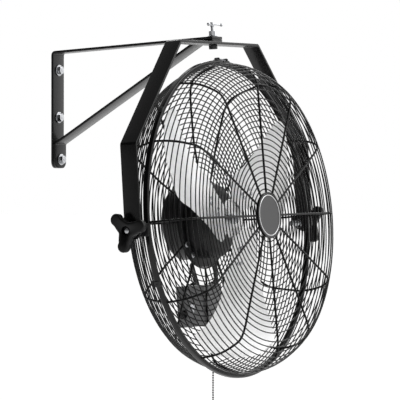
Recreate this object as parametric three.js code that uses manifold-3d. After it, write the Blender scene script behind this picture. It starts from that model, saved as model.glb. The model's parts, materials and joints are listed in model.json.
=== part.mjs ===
// A 20 inch wall fan: a flat-bar bracket with a brace, a yoke that swivels under the arm's tip, and a
// fan in two wire guards that tilts between the yoke's legs. Millimetres. X is to the right as seen
// from the room, -Y points into the room and +Z is up. The origin is on the wall, in the middle of the
// bracket's wall strip.
import * as THREE from "three";
import { mergeVertices } from "three/addons/utils/BufferGeometryUtils.js";
import Module from "manifold-3d";

const wasm = await Module();
wasm.setup();

const DEG = Math.PI / 180;
const seat = 0.3; // gap left between two pieces that bear on each other

// Wall bracket and brace
const bracketWidth = 35;
const barThick = 4.5;
const stripHeight = 207.4;
const stripCorner = 12;
const armReach = 322.6; // wall to swivel axis, along the arm
const armTip = 9.2; // arm beyond the swivel axis
const armRise = 3.7 * DEG;
const bendRadius = 5.75; // to the middle of the bar
const footHeight = 43.3; // brace bend above the strip's bottom end
const braceStop = 25; // brace bend behind the swivel axis

// Wall bolts, the outer two set in from the strip's ends
const boltInset = { upper: 33.7, lower: 15.5 };
const boltHeights = {
  upper: stripHeight / 2 - boltInset.upper,
  middle: -13.6,
  lower: boltInset.lower - stripHeight / 2,
};
const boltShank = 8;
const boltHead = { flats: 13, height: 5.3 };
const wallWasher = { radius: 10, thick: 1.6 };
const boltClearance = 0.5; // hole radius over shank radius

// Swivel screw at the arm's tip
const swivelShank = 8;
const swivelCollar = { flats: 11, height: 8 };
const swivelNeck = 5;
const swivelHead = { radius: 3.6, height: 7 };
const swivelRise = 25; // top of the head above the arm
const swivelWasher = { radius: 9, thick: 1.4 };
const swivelNut = { flats: 14, height: 7 };
const tommyBar = { radius: 1.4, length: 43, ball: 2.9, shift: 9.5 };

// Yoke
const yokeWidth = 31; // width of the flat bar
const yokeTop = 264.4; // over the top's bends
const hoopHeadroom = 43.1; // guard ring's top to the arm's top face
const shoulderHeight = 130.5; // shoulder bend above the middle of the guard ring

// Tilt pivots
const pivotDrop = 12.1; // pivot below the middle of the guard ring
const fanTilt = 1.7 * DEG; // fan's front raised out of the yoke's plane at rest
const studRadius = 5;
const studClear = 3; // stud's inner end outside the sweep of the blade tips
const tiltNut = { flats: 16, height: 8 };
const ear = { thick: 3, front: 19, back: 12, height: 22 };
const spacer = { radius: 12, length: 12.5 };
const knob = { lobe: 10.5, lobeReach: 26, plate: 12, stem: 10, web: 13, recess: 6 };

// Guard ring and guards
const hoopRadius = 272;
const hoopDrop = hoopRadius + hoopHeadroom; // arm's top face to the middle of the guard ring
const hoopWall = 2.5;
const hoopFront = 20.3;
const hoopBack = 10.5;
const wire = 3; // ring wire of the guards
const ribWire = 4;
const ribCount = 12;
const clampTurn = 2.7; // degrees from the ring's top to its clamp
const lug = { inner: 12, outer: 15.5, rise: 6 }; // clamp lugs each side of the ring's split
const clampBolt = { shank: 2, head: 3, rise: 2.7 };
const rimSides = 48;
const coreSides = 24;

// Fan, along its axis: the ring's middle is 0 and the front is negative
const frontFace = -90.5;
const rearFace = 44.7;
const badge = { radius: 39.8, thick: 2.2, dish: 1.2 };
const motor = { radius: 64, wall: 3, front: 5, back: 90 };
const plate = { radius: motor.radius + 15, front: 40, thick: 3 };
const screwCircle = motor.radius + 8;
const plateScrew = { radius: 2.5, head: 5.5, headHeight: 3, angles: [32, 52, 212, 232] };
const bearing = { radius: 14, width: 7.5, wall: 3.7 };
const stator = { bore: 42, front: motor.front + 15, back: motor.back - 21 };
const airGap = 0.5;
const shaftRadius = 6;
const hub = { radius: 34, thick: 3, front: -20.2, boss: 15, bossBack: -4 };
const hubArm = { reach: 84, width: 24, lean: -8 }; // lean is in degrees from the blade's phase
const hubNut = { flats: 17, height: 8 };

// Blades: each station gives the share of the way from root to tip, then the angle in degrees and the
// depth along the axis of the leading and the trailing edge.
const bladeCount = 3;
const bladeRoot = 30;
const bladeTipGap = 33; // blade tip to the outside of the guard ring
const bladeThick = 1.5;
const bladePhase = 49; // angle of the first blade's leading tip corner
const bladeStations = [
  { at: 0, lead: 44, leadDepth: -24, trail: -28, trailDepth: -22 },
  { at: 0.07, lead: 47, leadDepth: -26, trail: -30, trailDepth: -22 },
  { at: 0.15, lead: 48, leadDepth: -28, trail: -31, trailDepth: -22 },
  { at: 0.2, lead: 43, leadDepth: -28.5, trail: -32, trailDepth: -21.7 },
  { at: 0.25, lead: 29, leadDepth: -28.3, trail: -34, trailDepth: -20.5 },
  { at: 0.31, lead: 18, leadDepth: -28, trail: -37, trailDepth: -17.5 },
  { at: 0.47, lead: 9, leadDepth: -32, trail: -36, trailDepth: -12 },
  { at: 0.64, lead: 4, leadDepth: -36, trail: -38.5, trailDepth: -5 },
  { at: 0.8, lead: 2, leadDepth: -40, trail: -43.5, trailDepth: 1 },
  { at: 0.94, lead: -1, leadDepth: -45, trail: -48.5, trailDepth: 7 },
  { at: 1, lead: -7, leadDepth: -42, trail: -42, trailDepth: 1 },
];

// Switch box behind the rear guard
const box = { halfWidth: 60, gap: 0.8, depth: 18, drop: 45, height: 71, wall: 2 };
const boxCover = 2.2;
const boxPlug = { inset: 17, rise: 33, radius: 8, proud: 0.5 };
const hanger = { width: 12, thick: 2.5, foot: 4.5, offset: 1.6 };
const hangers = {
  left: { across: 27 - box.halfWidth, lean: 0.3 },
  right: { across: box.halfWidth - 12, lean: 0 },
};
const capacitor = { inset: 8, width: 40, depth: 12, drop: 5, height: 26 };
const pullSwitch = { inset: 25, width: 24, height: 22, depth: 13, neck: 5, drop: 8 };
const gland = { rise: 22, flats: 15, neck: 5.5, bore: 3.8, length: 13 };
const chain = { radius: 1.1, length: 250 };
const bell = { radius: 4.5, length: 14 };

// Finishes
const finish = (color, roughness, metalness) => new THREE.MeshStandardMaterial({ color, roughness, metalness });
const blackPaint = finish(0x1b1b1c, 0.35, 0.2);
const blackWire = finish(0x161617, 0.4, 0.2);
const zinc = finish(0xc9ccd0, 0.3, 0.9);
const aluminium = finish(0xd5d7d9, 0.35, 0.85);
const greyPaint = finish(0x6c6d6f, 0.5, 0.3);
const darkPaint = finish(0x2b2b2d, 0.45, 0.3);
const blackPlastic = finish(0x18181a, 0.5, 0.0);
const steel = finish(0x8d9094, 0.35, 0.9);
const copperWound = finish(0x8a5a3a, 0.5, 0.5);

// A closed manifold solid from a three.js geometry, turned to face out.
function solid(geometry) {
  const bare = geometry.clone();
  bare.deleteAttribute("normal");
  bare.deleteAttribute("uv");
  const merged = mergeVertices(bare, 1e-4);
  const index = merged.index.array;
  const kept = [];
  for (let i = 0; i < index.length; i += 3) {
    const [a, b, c] = [index[i], index[i + 1], index[i + 2]];
    if (a !== b && b !== c && c !== a) kept.push(a, b, c);
  }
  const make = (triangles) =>
    new wasm.Manifold(
      new wasm.Mesh({
        numProp: 3,
        vertProperties: new Float32Array(merged.attributes.position.array),
        triVerts: new Uint32Array(triangles),
      }),
    );
  const body = make(kept);
  return body.volume() < 0 ? make(kept.reverse()) : body;
}

// A named mesh from a manifold solid.
function piece(name, body, material) {
  const data = body.getMesh();
  const geometry = new THREE.BufferGeometry();
  geometry.setAttribute("position", new THREE.BufferAttribute(new Float32Array(data.vertProperties), 3));
  geometry.setIndex(new THREE.BufferAttribute(new Uint32Array(data.triVerts), 1));
  geometry.computeVertexNormals();
  const mesh = new THREE.Mesh(geometry, material);
  mesh.name = name;
  return mesh;
}

const union = (bodies) => bodies.reduce((whole, next) => whole.add(next));

// Basis changes from a drawing plane to the fan's axes.
const planeYZ = new THREE.Matrix4().makeBasis(
  new THREE.Vector3(0, 1, 0),
  new THREE.Vector3(0, 0, 1),
  new THREE.Vector3(1, 0, 0),
);
const planeXZ = new THREE.Matrix4().makeBasis(
  new THREE.Vector3(1, 0, 0),
  new THREE.Vector3(0, 0, 1),
  new THREE.Vector3(0, -1, 0),
);

// A round, or with few sides a hexagonal, bar along X, Y or Z between two places on that axis.
function bar(radius, from, to, axis, sides = 20, across = [0, 0]) {
  const geometry = new THREE.CylinderGeometry(radius, radius, Math.abs(to - from), sides);
  const middle = (from + to) / 2;
  if (axis === "x") geometry.rotateZ(-Math.PI / 2).translate(middle, across[0], across[1]);
  if (axis === "y") geometry.translate(across[0], middle, across[1]);
  if (axis === "z") geometry.rotateX(Math.PI / 2).translate(across[0], across[1], middle);
  return solid(geometry);
}

const hexagon = (flats, from, to, axis, across) => bar(flats / Math.sqrt(3), from, to, axis, 6, across);

// A box between two corners.
function block(low, high) {
  const size = high.map((value, i) => value - low[i]);
  const middle = high.map((value, i) => (value + low[i]) / 2);
  return solid(new THREE.BoxGeometry(...size).translate(...middle));
}

// A solid turned about the Y axis from a closed outline of [radius, depth] points.
function turned(outline, sides = coreSides) {
  const points = [...outline, outline[0]].map(([radius, depth]) => new THREE.Vector2(radius, depth));
  return solid(new THREE.LatheGeometry(points, sides));
}

// The middle line of a bent bar: straight runs joined by arcs.
function bentLine(corners, radius, steps) {
  const line = [corners[0]];
  for (let i = 1; i < corners.length - 1; i += 1) {
    const into = corners[i].clone().sub(corners[i - 1]).normalize();
    const out = corners[i + 1].clone().sub(corners[i]).normalize();
    const turn = Math.atan2(into.x * out.y - into.y * out.x, into.dot(out));
    const tangent = radius * Math.tan(Math.abs(turn) / 2);
    const start = corners[i].clone().addScaledVector(into, -tangent);
    const side = new THREE.Vector2(-into.y, into.x).multiplyScalar(Math.sign(turn));
    const centre = start.clone().addScaledVector(side, radius);
    for (let k = 0; k <= steps; k += 1) {
      line.push(start.clone().rotateAround(centre, (turn * k) / steps));
    }
  }
  line.push(corners[corners.length - 1]);
  return line;
}

// A flat bar of the given thickness and width that follows corners drawn in a plane.
function bentBar(corners, thick, width, plane, radius = 0, steps = 4) {
  const points = corners.map(([u, v]) => new THREE.Vector2(u, v));
  const line = radius > 0 ? bentLine(points, radius, steps) : points;
  const left = [];
  const right = [];
  line.forEach((point, i) => {
    const before = line[Math.max(i - 1, 0)];
    const after = line[Math.min(i + 1, line.length - 1)];
    const into = point.clone().sub(before).normalize();
    const out = after.clone().sub(point).normalize();
    const along = into.clone().add(out).normalize();
    const spread = i > 0 && i < line.length - 1 ? Math.sqrt((1 + into.dot(out)) / 2) : 1;
    const normal = new THREE.Vector2(-along.y, along.x).multiplyScalar(thick / 2 / spread);
    left.push(point.clone().add(normal));
    right.push(point.clone().sub(normal));
  });
  const shape = new THREE.Shape([...left, ...right.reverse()]);
  const geometry = new THREE.ExtrudeGeometry(shape, { depth: width, bevelEnabled: false });
  geometry.translate(0, 0, -width / 2).applyMatrix4(plane);
  return solid(geometry);
}

// Points fixed to the arm, given in the arm's own frame, as Y and Z on the wall's frame.
const ringMiddle = [
  -armReach * Math.cos(armRise) - hoopDrop * Math.sin(armRise),
  stripHeight / 2 + armReach * Math.sin(armRise) - hoopDrop * Math.cos(armRise),
];
const fromArm = (y, z) => [
  ringMiddle[0] + y * Math.cos(armRise) - z * Math.sin(-armRise),
  ringMiddle[1] + y * Math.sin(-armRise) + z * Math.cos(armRise),
];
const barStep = barThick + seat;
const braceLevel = hoopDrop - barStep - barThick / 2; // middle of the brace's foot under the arm
const yokeLevel = braceLevel - barStep;
const armGroup = new THREE.Group();
armGroup.position.set(0, ringMiddle[0], ringMiddle[1]);
armGroup.rotation.x = -armRise;

// The strip's rounded lower corners, as a plate that keeps what lies inside it.
function stripOutline() {
  const half = bracketWidth / 2;
  const low = -stripHeight / 2;
  const shape = new THREE.Shape();
  shape.moveTo(-half, stripHeight * 2);
  shape.lineTo(-half, low + stripCorner);
  shape.absarc(-half + stripCorner, low + stripCorner, stripCorner, Math.PI, 1.5 * Math.PI, false);
  shape.absarc(half - stripCorner, low + stripCorner, stripCorner, 1.5 * Math.PI, 2 * Math.PI, false);
  shape.lineTo(half, stripHeight * 2);
  const depth = armReach * 2.4;
  const geometry = new THREE.ExtrudeGeometry(shape, { depth, bevelEnabled: false, curveSegments: 5 });
  return solid(geometry.translate(0, 0, -depth / 2).applyMatrix4(planeXZ));
}

function armBore(radius) {
  const bore = new THREE.CylinderGeometry(radius, radius, 60, 20).rotateX(Math.PI / 2);
  bore.translate(0, 0, hoopDrop).applyMatrix4(armGroup.matrix);
  return solid(bore);
}

function wallBracket() {
  const low = -stripHeight / 2;
  const inset = barThick / 2;
  const elbow = inset * Math.tan((Math.PI / 2 - armRise) / 2);
  const corners = [
    [-inset, low],
    [-inset, stripHeight / 2 - elbow],
    fromArm(-armTip, hoopDrop - inset),
  ];
  let body = bentBar(corners, barThick, bracketWidth, planeYZ, bendRadius).intersect(stripOutline());
  for (const height of Object.values(boltHeights)) {
    body = body.subtract(bar(boltShank / 2 + boltClearance, -barThick - 1, 1, "y", 16, [0, height]));
  }
  body = body.subtract(armBore(swivelShank / 2 + boltClearance));
  return piece("wall_bracket", body, blackPaint);
}

function brace() {
  const footLine = -barStep - barThick / 2;
  const corners = [
    [footLine, -stripHeight / 2],
    [footLine, footHeight - stripHeight / 2],
    fromArm(braceStop, braceLevel),
    fromArm(-armTip, braceLevel),
  ];
  let body = bentBar(corners, barThick, bracketWidth, planeYZ, bendRadius, 3).intersect(stripOutline());
  const hole = bar(boltShank / 2 + boltClearance, -30, 1, "y", 16, [0, boltHeights.lower]);
  body = body.subtract(hole).subtract(armBore(swivelShank / 2 + boltClearance));
  return piece("brace_bar", body, blackPaint);
}

// One wall bolt with its washer. The front face is that of the bar which the washer bears on.
function wallBolt(place, frontFace) {
  const height = boltHeights[place];
  const across = [0, height];
  const washerFront = frontFace - seat - wallWasher.thick;
  const headBack = washerFront - seat;
  const hole = bar(boltShank / 2 + boltClearance, washerFront - 1, frontFace, "y", 16, across);
  const washer = bar(wallWasher.radius, washerFront, frontFace - seat, "y", 20, across).subtract(hole);
  const shank = bar(boltShank / 2, headBack - 1, 0, "y", 16, across);
  const head = hexagon(boltHead.flats, headBack - boltHead.height, headBack, "y", across);
  return [
    piece(`wall_washer_${place}`, washer, zinc),
    piece(`wall_bolt_${place}`, head.add(shank), zinc),
  ];
}

function swivelScrew() {
  const foot = hoopDrop + seat + swivelWasher.thick + seat;
  const top = hoopDrop + swivelRise;
  const nutTop = yokeLevel - barThick / 2 - seat;
  const washerBore = bar(swivelShank / 2 + seat, hoopDrop, foot, "z");
  const washer = bar(swivelWasher.radius, hoopDrop + seat, foot - seat, "z", 24).subtract(washerBore);
  const barHole = bar(tommyBar.radius + seat, -20, 20, "x", 12, [0, top - swivelHead.height / 2]);
  const screw = union([
    bar(swivelShank / 2, nutTop - swivelNut.height, foot + 1, "z"),
    hexagon(swivelCollar.flats, foot, foot + swivelCollar.height, "z"),
    bar(swivelNeck / 2, foot + 1, top - 1, "z", 12),
    bar(swivelHead.radius, top - swivelHead.height, top, "z", 16),
  ]).subtract(barHole);
  const nut = hexagon(swivelNut.flats, nutTop - swivelNut.height, nutTop, "z").subtract(
    bar(swivelShank / 2 + seat, nutTop - swivelNut.height - 1, nutTop + 1, "z"),
  );
  return [
    piece("swivel_washer", washer, zinc),
    piece("swivel_screw", screw, zinc),
    piece("swivel_nut", nut, darkPaint),
  ];
}

function tommyBarPiece() {
  const level = hoopDrop + swivelRise - swivelHead.height / 2;
  const half = tommyBar.length / 2;
  const ball = (x) => {
    const sphere = new THREE.SphereGeometry(tommyBar.ball, 8, 5).rotateZ(Math.PI / 2);
    return solid(sphere.translate(x, 0, level));
  };
  const ends = [tommyBar.shift - half, tommyBar.shift + half];
  const rod = bar(tommyBar.radius, ends[0], ends[1], "x", 12, [0, level]);
  return piece("tommy_bar", union([rod, ball(ends[0]), ball(ends[1])]), zinc);
}

// The plate that rounds the lower ends of the yoke's legs about the pivot.
function legOutline() {
  const shape = new THREE.Shape();
  shape.moveTo(yokeWidth / 2, hoopDrop * 2);
  shape.lineTo(-yokeWidth / 2, hoopDrop * 2);
  shape.lineTo(-yokeWidth / 2, -pivotDrop);
  shape.absarc(0, -pivotDrop, yokeWidth / 2, Math.PI, 2 * Math.PI, false);
  const depth = 2 * legOuter + 20;
  const geometry = new THREE.ExtrudeGeometry(shape, { depth, bevelEnabled: false, curveSegments: 9 });
  return solid(geometry.translate(0, 0, -depth / 2).applyMatrix4(planeYZ));
}

const pivotHeight = -pivotDrop;
const earInner = hoopRadius + seat;
const earOuter = earInner + ear.thick;
const legInner = earOuter + seat + spacer.length + seat;
const legOuter = legInner + barThick;

function yoke() {
  const leg = legOuter - barThick / 2;
  const top = yokeTop / 2 - barThick / 2;
  const low = pivotHeight - yokeWidth;
  const corners = [
    [-leg, low],
    [-leg, shoulderHeight],
    [-top, yokeLevel],
    [top, yokeLevel],
    [leg, shoulderHeight],
    [leg, low],
  ];
  const body = bentBar(corners, barThick, yokeWidth, planeXZ, bendRadius, 3)
    .intersect(legOutline())
    .subtract(bar(swivelShank / 2 + boltClearance, yokeLevel - 20, yokeLevel + 20, "z"))
    .subtract(bar(studRadius + boltClearance, -legOuter - 10, legOuter + 10, "x", 20, [0, pivotHeight]));
  return piece("yoke_bar", body, blackPaint);
}

// What turns with one knob, in the arm's frame: side is -1 on the left and 1 on the right.
function tiltStud(side, label) {
  const outer = legOuter + seat + knob.stem + knob.plate - 3;
  const inner = hoopRadius - bladeTipGap + studClear;
  const body = bar(studRadius, side * inner, side * outer, "x", 16, [0, pivotHeight]);
  return piece(`tilt_stud_${label}`, body, zinc);
}

function tiltKnob(side, label) {
  const foot = legOuter + seat;
  const face = foot + knob.stem + knob.plate;
  const across = [0, pivotHeight];
  const parts = [bar(spacer.radius, side * foot, side * (foot + knob.stem + 1), "x", 12, across)];
  parts.push(bar(knob.web, side * (face - knob.plate), side * face, "x", 12, across));
  for (const angle of [14, 134, 254]) {
    const y = side * knob.lobeReach * Math.cos(angle * DEG);
    const z = knob.lobeReach * Math.sin(angle * DEG);
    const lobe = [y, pivotHeight + z];
    parts.push(bar(knob.lobe, side * (face - knob.plate), side * face, "x", 12, lobe));
    const web = new THREE.BoxGeometry(knob.plate, knob.lobeReach, knob.lobe * 1.4);
    web.translate(0, knob.lobeReach / 2, 0).rotateX(Math.atan2(z, y));
    parts.push(solid(web.translate(side * (face - knob.plate / 2), 0, pivotHeight)));
  }
  const recess = bar(knob.recess, side * (face - 3), side * (face + 1), "x", 16, across);
  const bore = bar(studRadius + seat, side * (foot - 1), side * (face + 1), "x", 16, across);
  return piece(`tilt_knob_${label}`, union(parts).subtract(recess).subtract(bore), blackPlastic);
}

function frictionSpacer(side, label) {
  const bore = bar(studRadius + seat, side * earOuter, side * legInner, "x", 16, [0, pivotHeight]);
  const inner = earOuter + seat;
  const body = bar(spacer.radius, side * inner, side * (legInner - seat), "x", 20, [0, pivotHeight]);
  return piece(`friction_spacer_${label}`, body.subtract(bore), blackPlastic);
}

// The fan's own pieces, in the fan's frame.
function earBracket(side, label) {
  const low = Math.min(side * earInner, side * earOuter);
  const half = ear.height / 2;
  const arm = block(
    [low, -ear.front, pivotHeight - half],
    [low + ear.thick, ear.back - half, pivotHeight + half],
  );
  const round = bar(half, side * earInner, side * earOuter, "x", 24, [ear.back - half, pivotHeight]);
  const bore = bar(studRadius + seat, side * (earInner - 1), side * (earOuter + 1), "x", 16, [0, pivotHeight]);
  return piece(`ear_bracket_${label}`, arm.add(round).subtract(bore), darkPaint);
}

function tiltNutPiece(side, label) {
  const outer = earInner - seat;
  const inner = outer - tiltNut.height;
  const corner = tiltNut.flats / Math.sqrt(3);
  const hex = new THREE.CylinderGeometry(corner, corner, tiltNut.height, 6).rotateZ(Math.PI / 2);
  hex.rotateX(Math.PI / 2).translate((side * (outer + inner)) / 2, 0, pivotHeight);
  const bore = bar(studRadius + seat, side * (inner - 1), side * (outer + 1), "x", 16, [0, pivotHeight]);
  return piece(`tilt_nut_${label}`, solid(hex).subtract(bore), zinc);
}

const clampDepth = -(hoopFront + hoopBack) / 2;

function clampRing() {
  const inner = hoopRadius - hoopWall;
  const band = turned(
    [
      [inner, -hoopFront],
      [hoopRadius, -hoopFront],
      [hoopRadius, -hoopBack],
      [inner, -hoopBack],
    ],
    rimSides,
  );
  const lugs = [-1, 1].map((side) => {
    const low = Math.min(side * lug.inner, side * lug.outer);
    const high = low + lug.outer - lug.inner;
    return block([low, -hoopFront, hoopRadius - 2.3], [high, -hoopBack, hoopRadius + lug.rise]);
  });
  const split = block([-1.5, -hoopFront - 1, hoopRadius - 10], [1.5, -hoopBack + 1, hoopRadius + 10]);
  const level = hoopRadius + clampBolt.rise;
  const hole = bar(clampBolt.shank + seat, -lug.outer - 2, lug.outer + 2, "x", 12, [clampDepth, level]);
  const lugPair = union(lugs).subtract(hole).rotate([0, clampTurn, 0]);
  return piece("clamp_ring", band.add(lugPair).subtract(split.rotate([0, clampTurn, 0])), blackPaint);
}

function clampScrew() {
  const across = [clampDepth, hoopRadius + clampBolt.rise];
  const face = lug.outer + seat;
  const head = bar(clampBolt.head, face, face + 2, "x", 12, across);
  const shank = bar(clampBolt.shank, -lug.outer - 1.5, face + 1, "x", 12, across);
  return piece("clamp_screw", head.add(shank).rotate([0, clampTurn, 0]), zinc);
}

function rimClip(angle, label) {
  const clip = new THREE.BoxGeometry(3, hoopFront - hoopBack, 11);
  clip.translate(hoopRadius + 1.5 + seat, clampDepth, 0).rotateY(-angle * DEG);
  return piece(`rim_clip_${label}`, solid(clip), darkPaint);
}

// A guard ring of square section at a radius and depth.
function rimRing(radius, depth, sides, size) {
  const half = size / 2;
  return turned(
    [
      [radius - half, depth - half],
      [radius + half, depth - half],
      [radius + half, depth + half],
      [radius - half, depth + half],
    ],
    sides,
  );
}

// A thinner guard ring, of three-sided section.
function wireRing(radius, depth) {
  return turned([
    [radius - wire / 2, depth + wire / 2],
    [radius, depth - wire / 2],
    [radius + wire / 2, depth + wire / 2],
  ]);
}

// Ribs that follow a profile of [radius, depth] points, spread evenly round the axis.
function ribs(profile) {
  return Array.from({ length: ribCount }, (_, i) => {
    const turn = new THREE.Matrix4().makeRotationY((-i * 2 * Math.PI) / ribCount);
    return bentBar(profile, ribWire, ribWire, turn);
  });
}

const rimRadius = hoopRadius - hoopWall - seat - ribWire / 2;
const rimFront = clampDepth - ribWire / 2 - seat / 2;
const rimBack = clampDepth + ribWire / 2 + seat / 2;

function frontGuard() {
  const profile = [
    [rimRadius, rimFront],
    [hoopRadius - 9, -46],
    [hoopRadius - 14.5, -60],
    [hoopRadius - 30.5, frontFace + 7.5],
    [hoopRadius - 44, frontFace + 1],
    [hoopRadius - 66, frontFace],
    [badge.radius - 1, frontFace],
  ];
  const rings = [
    rimRing(rimRadius, rimFront, rimSides, ribWire),
    wireRing(hoopRadius - 14.5, -60),
    wireRing(hoopRadius - 30.5, frontFace + 7.5),
    wireRing(hoopRadius - 94, frontFace),
    wireRing(badge.radius + 68, frontFace),
    rimRing(badge.radius - 2, frontFace, coreSides, wire),
  ];
  return piece("front_guard", union([...rings, ...ribs(profile)]), blackWire);
}

const plateEdge = plate.radius + seat;
const rearCore = plateEdge + wire / 2;
const rearCoreDepth = plate.front + plate.thick / 2;

function rearGuard() {
  const profile = [
    [rimRadius, rimBack],
    [rimRadius - 9, 12],
    [hoopRadius - 25, rearFace - 11],
    [hoopRadius - 33, rearFace - 5],
    [hoopRadius - 62, rearFace],
    [rearCore + 62, rearFace],
    [rearCore + 28, rearCoreDepth],
    [rearCore, rearCoreDepth],
  ];
  const rings = [
    rimRing(rimRadius, rimBack, rimSides, ribWire),
    wireRing(rimRadius - 9, 12),
    wireRing(hoopRadius - 28, rearFace - 8.7),
    wireRing(hoopRadius - 88, rearFace),
    wireRing(rearCore + 45, rearFace - 3),
    rimRing(rearCore, rearCoreDepth, coreSides, wire),
  ];
  return piece("rear_guard", union([...rings, ...ribs(profile)]), blackWire);
}

function badgePiece() {
  const back = frontFace - ribWire / 2 - seat;
  const front = back - badge.thick;
  const outline = [
    [0, back],
    [badge.radius, back],
    [badge.radius, front],
    [badge.radius - 3, front],
    [badge.radius - 4, front + badge.dish * 0.6],
    [0, front + badge.dish],
  ];
  return piece("centre_badge", turned(outline, 32), darkPaint);
}

function mountPlate() {
  const inner = motor.radius - motor.wall;
  let body = turned([
    [inner, plate.front],
    [plate.radius, plate.front],
    [plate.radius, plate.front + plate.thick],
    [inner, plate.front + plate.thick],
  ]);
  for (const angle of plateScrew.angles) {
    const x = screwCircle * Math.cos(angle * DEG);
    const z = screwCircle * Math.sin(angle * DEG);
    const hole = bar(plateScrew.radius + seat, plate.front - 1, plate.front + 9, "y", 12, [x, z]);
    body = body.subtract(hole);
  }
  return piece("motor_plate", body, darkPaint);
}

function plateScrewPiece(angle, label) {
  const x = screwCircle * Math.cos(angle * DEG);
  const z = screwCircle * Math.sin(angle * DEG);
  const face = plate.front - seat;
  const head = bar(plateScrew.head, face - plateScrew.headHeight, face, "y", 14, [x, z]);
  const shank = bar(plateScrew.radius, face - 1, plate.front + plate.thick + 2.5, "y", 12, [x, z]);
  return piece(`plate_screw_${label}`, head.add(shank), zinc);
}

// Half of the motor's can, with the pocket that holds a bearing.
function motorShell(name, closed, open, bore) {
  const way = Math.sign(open - closed);
  const floor = closed + way * motor.wall;
  const lip = floor + way * (bearing.width + seat);
  const pocket = bearing.radius + seat;
  const inner = motor.radius - motor.wall;
  const outline = [
    [bore, closed],
    [motor.radius - 4, closed],
    [motor.radius, closed + way * 4],
    [motor.radius, open],
    [inner, open],
    [inner, floor],
    [pocket + bearing.wall, floor],
    [pocket + bearing.wall, lip],
    [pocket, lip],
    [pocket, floor],
    [bore, floor],
  ];
  return piece(name, turned(outline), darkPaint);
}

function bearingPiece(name, floor, way) {
  const from = floor + way * seat;
  const body = bar(bearing.radius, from, from + way * bearing.width, "y", 24);
  const bore = bar(shaftRadius + seat, from - way, from + way * (bearing.width + 1), "y", 20);
  return piece(name, body.subtract(bore), steel);
}

function statorPiece() {
  const inner = motor.radius - motor.wall - seat;
  const outline = [
    [stator.bore, stator.front],
    [inner, stator.front],
    [inner, stator.back],
    [stator.bore, stator.back],
  ];
  return piece("stator", turned(outline), copperWound);
}

const hubNutFront = hub.front - seat - hubNut.height;

function rotorParts() {
  const bore = shaftRadius + seat;
  const coreOutline = [
    [bore, stator.front + 2],
    [stator.bore - airGap, stator.front + 2],
    [stator.bore - airGap, stator.back - 2],
    [bore, stator.back - 2],
  ];
  const hubOutline = [
    [bore, hub.front],
    [hub.radius, hub.front],
    [hub.radius, hub.front + hub.thick],
    [hub.boss, hub.front + hub.thick],
    [hub.boss, hub.bossBack],
    [bore, hub.bossBack],
  ];
  const arms = Array.from({ length: bladeCount }, (_, i) => {
    const low = [hub.boss, hub.front, -hubArm.width / 2];
    const arm = block(low, [hubArm.reach, hub.front + hub.thick, hubArm.width / 2]);
    return arm.rotate([0, -(bladePhase + hubArm.lean + (360 / bladeCount) * i), 0]);
  });
  const nutHole = bar(bore, hubNutFront - 1, hub.front, "y", 20);
  const nut = hexagon(hubNut.flats, hubNutFront, hub.front - seat, "y").subtract(nutHole);
  const shaft = bar(shaftRadius, hubNutFront - 2, motor.back - motor.wall - seat, "y", 20);
  return [
    piece("rotor_shaft", shaft, steel),
    piece("rotor_core", turned(coreOutline), steel),
    piece("blade_hub", union([turned(hubOutline), ...arms]), aluminium),
    piece("hub_nut", nut, zinc),
  ];
}

// A point on a blade's front face: station, then the share of the way from leading to trailing edge.
function bladePoint(station, share, phase) {
  const tip = hoopRadius - bladeTipGap;
  const radius = bladeRoot + station.at * (tip - bladeRoot);
  const angle = (phase + station.lead + (station.trail - station.lead) * share) * DEG;
  const depth = station.leadDepth + (station.trailDepth - station.leadDepth) * share;
  return [radius * Math.cos(angle), depth, radius * Math.sin(angle)];
}

function blade(number) {
  const phase = bladePhase + (360 / bladeCount) * number;
  const shares = [0, 0.25, 0.5, 0.75, 1];
  const rows = bladeStations.length;
  const columns = shares.length;
  const front = bladeStations.flatMap((station) => shares.map((share) => bladePoint(station, share, phase)));
  const back = front.map(([x, y, z]) => [x, y + bladeThick, z]);
  const count = rows * columns;
  const faces = [];
  const quad = (a, b, c, d) => faces.push(a, b, c, a, c, d);
  const at = (row, column) => row * columns + column;
  for (let row = 0; row < rows - 1; row += 1) {
    for (let column = 0; column < columns - 1; column += 1) {
      const ring = [at(row, column), at(row, column + 1), at(row + 1, column + 1), at(row + 1, column)];
      quad(...ring);
      quad(...ring.map((corner) => corner + count).reverse());
    }
  }
  const edge = (a, b) => quad(b, a, a + count, b + count);
  for (let row = 0; row < rows - 1; row += 1) {
    edge(at(row + 1, 0), at(row, 0));
    edge(at(row, columns - 1), at(row + 1, columns - 1));
  }
  for (let column = 0; column < columns - 1; column += 1) {
    edge(at(0, column), at(0, column + 1));
    edge(at(rows - 1, column + 1), at(rows - 1, column));
  }
  const geometry = new THREE.BufferGeometry();
  geometry.setAttribute("position", new THREE.Float32BufferAttribute([...front, ...back].flat(), 3));
  geometry.setIndex(faces);
  return piece(`blade_${number + 1}`, solid(geometry), aluminium);
}

// Switch box and what it holds.
const boxFront = rearFace + ribWire / 2 + box.gap;
const boxBack = boxFront + box.depth;
const boxMiddle = (boxFront + boxBack) / 2;
const boxTop = -(motor.radius + box.drop);
const boxBottom = boxTop - box.height;
const boxFloor = boxBottom + box.wall;
const switchAcross = box.halfWidth - pullSwitch.inset;
const plugPlace = [boxPlug.inset - box.halfWidth, boxBottom + boxPlug.rise];
const glandPlace = [boxMiddle, boxBottom + gland.rise];

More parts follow.
